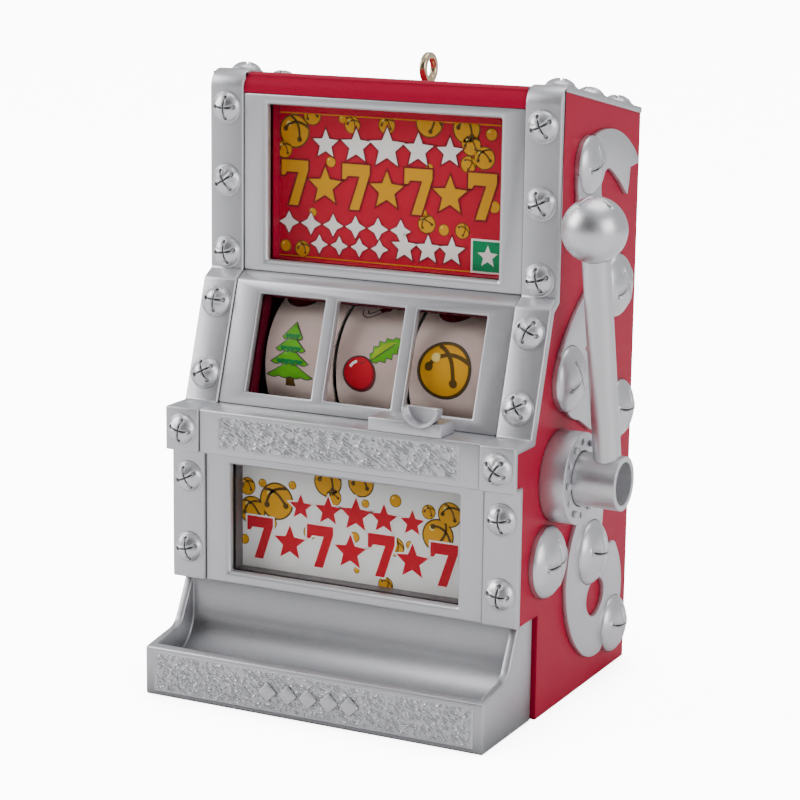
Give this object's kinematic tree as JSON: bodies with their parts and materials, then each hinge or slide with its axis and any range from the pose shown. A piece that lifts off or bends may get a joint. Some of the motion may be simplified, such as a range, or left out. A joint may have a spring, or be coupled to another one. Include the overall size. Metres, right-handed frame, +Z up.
{
  "type": "miniature slot machine",
  "caption": "Miniature three-reel slot machine with a pull lever, windowed silver fronts, a coin tray and a hanging loop on top.",
  "frame": {"origin": "centre of the cabinet's footprint on the surface it stands on", "axes": "+X to the lever side, +Y to the back, +Z up"},
  "size_m": [0.0733, 0.0541, 0.0978],
  "materials": {
    "red": "smooth glossy red moulding",
    "silver": "satin silver paint over moulded plastic",
    "clear": "clear polished pane",
    "card": "printed gloss card",
    "paper": "printed paper strip",
    "nylon": "natural white moulded plastic",
    "black": "black moulded plastic",
    "steel": "bright zinc-plated steel",
    "brass": "polished pale gold"
  },
  "bodies": {
    "cabinet": {"back_cover": "red", "back_screws": "steel", "base_plate": "red", "base_screws": "steel", "cabinet_shell": "red", "coin_slot_block": "silver", "coin_slot_cup": "silver", "coin_tray": "silver", "detent_springs": "steel", "frame_bars": "steel", "frame_screws": "steel", "hanging_loop": "brass", "housing_studs": "silver", "lever_bush": "nylon", "lever_housing": "silver", "lower_bezel": "silver", "lower_card": "card", "lower_surround": "silver", "lower_window": "clear", "reel_bezel": "silver", "reel_frame_left": "black", "reel_frame_right": "black", "reel_surround": "red", "reel_window": "clear", "return_spring": "steel", "side_bells_left": "silver", "side_bells_right": "silver", "side_ribbon_left": "silver", "side_ribbon_right": "silver", "sign_card": "card", "sign_frame": "silver", "sign_surround": "red", "sign_window": "clear", "strap_bells_left": "silver", "strap_bells_right": "silver", "strap_left": "silver", "strap_right": "silver", "tray_emblem": "silver"},
    "lever": {"lever_ball": "silver", "lever_rod": "silver", "lever_hub": "silver", "lever_shaft": "steel", "shaft_clip": "steel", "sector_gear": "nylon"},
    "reel_drive": {"reel_axle": "steel", "axle_collars": "steel", "drive_pinion": "nylon"},
    "reel_left": {"reel_drum_left": "nylon", "reel_strip_left": "paper", "notch_wheel_left": "nylon"},
    "reel_centre": {"reel_drum_centre": "nylon", "reel_strip_centre": "paper", "notch_wheel_centre": "nylon"},
    "reel_right": {"reel_drum_right": "nylon", "reel_strip_right": "paper", "notch_wheel_right": "nylon"}
  },
  "joints": [
    {"name": "lever_pull", "type": "hinge", "parent": "cabinet", "child": "lever", "pos_m": [0.0375, -0.00297, 0.0368], "axis": [1, 0, 0], "range_deg": [0, 60], "stiffness_Nm_per_rad": 0.004, "springref_deg": -20.05},
    {"name": "reel_drive_turn", "type": "hinge", "parent": "cabinet", "child": "reel_drive", "pos_m": [0.0215, 0.00259, 0.0496], "axis": [1, 0, 0], "range_deg": [-181, 1]},
    {"name": "reel_left_spin", "type": "hinge", "parent": "cabinet", "child": "reel_left", "pos_m": [-0.0125, 0.00259, 0.0496], "axis": [1, 0, 0], "continuous": true},
    {"name": "reel_centre_spin", "type": "hinge", "parent": "cabinet", "child": "reel_centre", "pos_m": [0, 0.00259, 0.0496], "axis": [1, 0, 0], "continuous": true},
    {"name": "reel_right_spin", "type": "hinge", "parent": "cabinet", "child": "reel_right", "pos_m": [0.0125, 0.00259, 0.0496], "axis": [1, 0, 0], "continuous": true}
  ],
  "couplings": [
    {"joint": "reel_drive_turn", "follows": "lever_pull", "ratio": -3}
  ]
}
